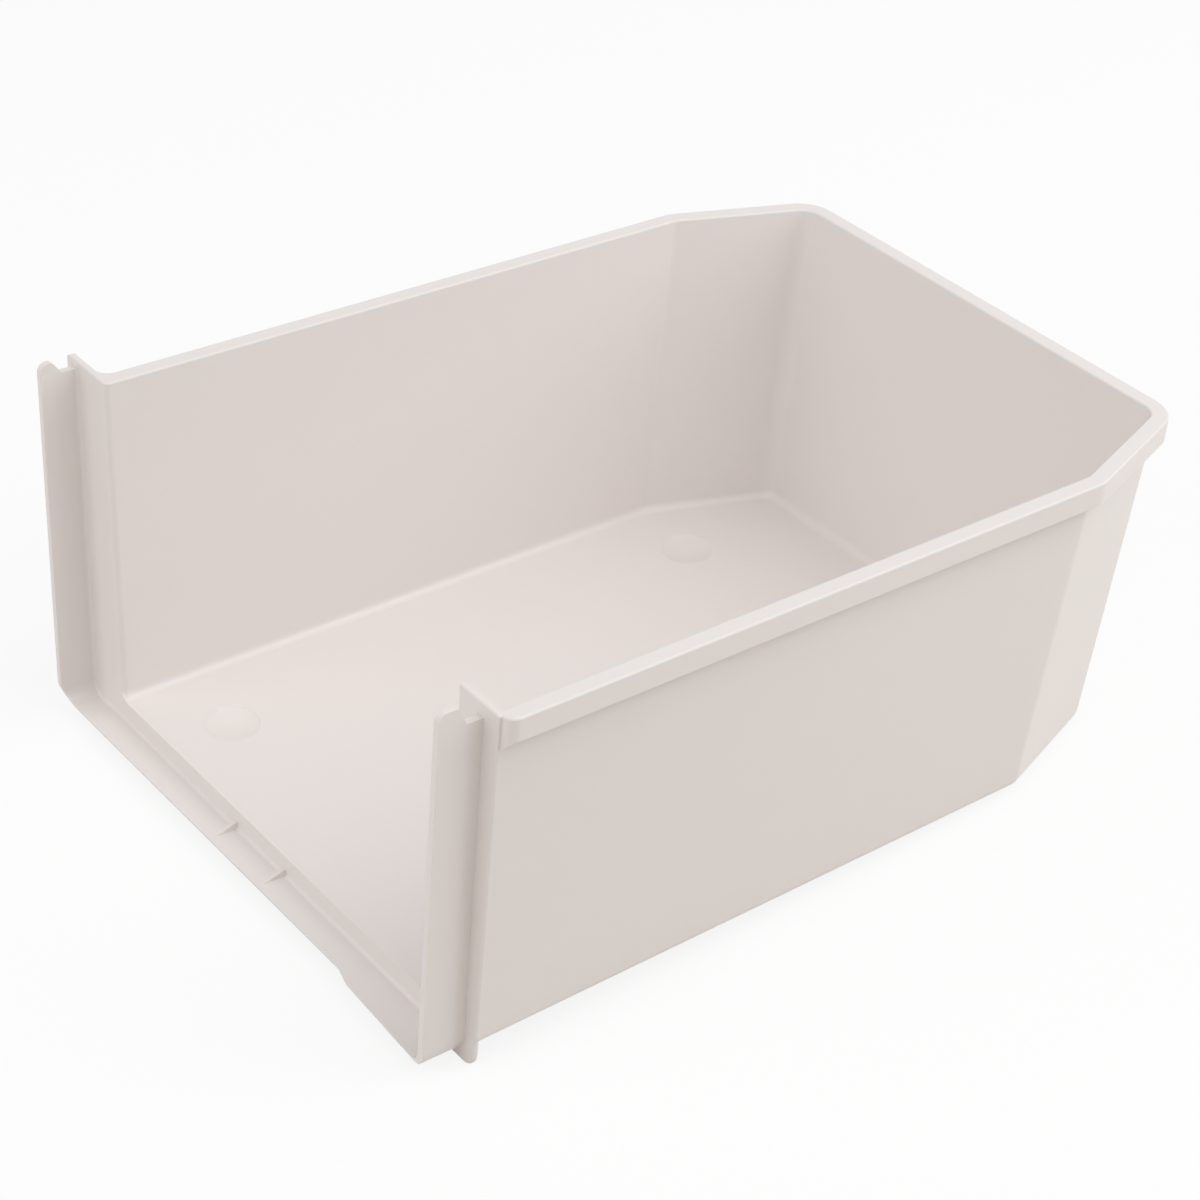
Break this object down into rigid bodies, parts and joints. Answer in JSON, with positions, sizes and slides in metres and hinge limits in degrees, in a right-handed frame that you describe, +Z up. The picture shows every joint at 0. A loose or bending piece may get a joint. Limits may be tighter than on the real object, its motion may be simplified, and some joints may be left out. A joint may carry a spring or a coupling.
{
  "type": "fridge crisper drawer",
  "caption": "Deep white plastic fridge crisper bin with chamfered rear corners, a turned-down rim that slides on runners, and an open front framed to carry a separate front panel.",
  "frame": {"origin": "middle of the bounding box's base, under the drawer", "axes": "+Z up, +Y from the open front towards the back of the fridge, +X to the right of someone who faces the open front"},
  "size_m": [0.2614, 0.3222, 0.1445],
  "materials": {
    "white_plastic": "satin moulded polystyrene"
  },
  "bodies": {
    "root": {"crisper_bin": "white_plastic"}
  },
  "joints": []
}
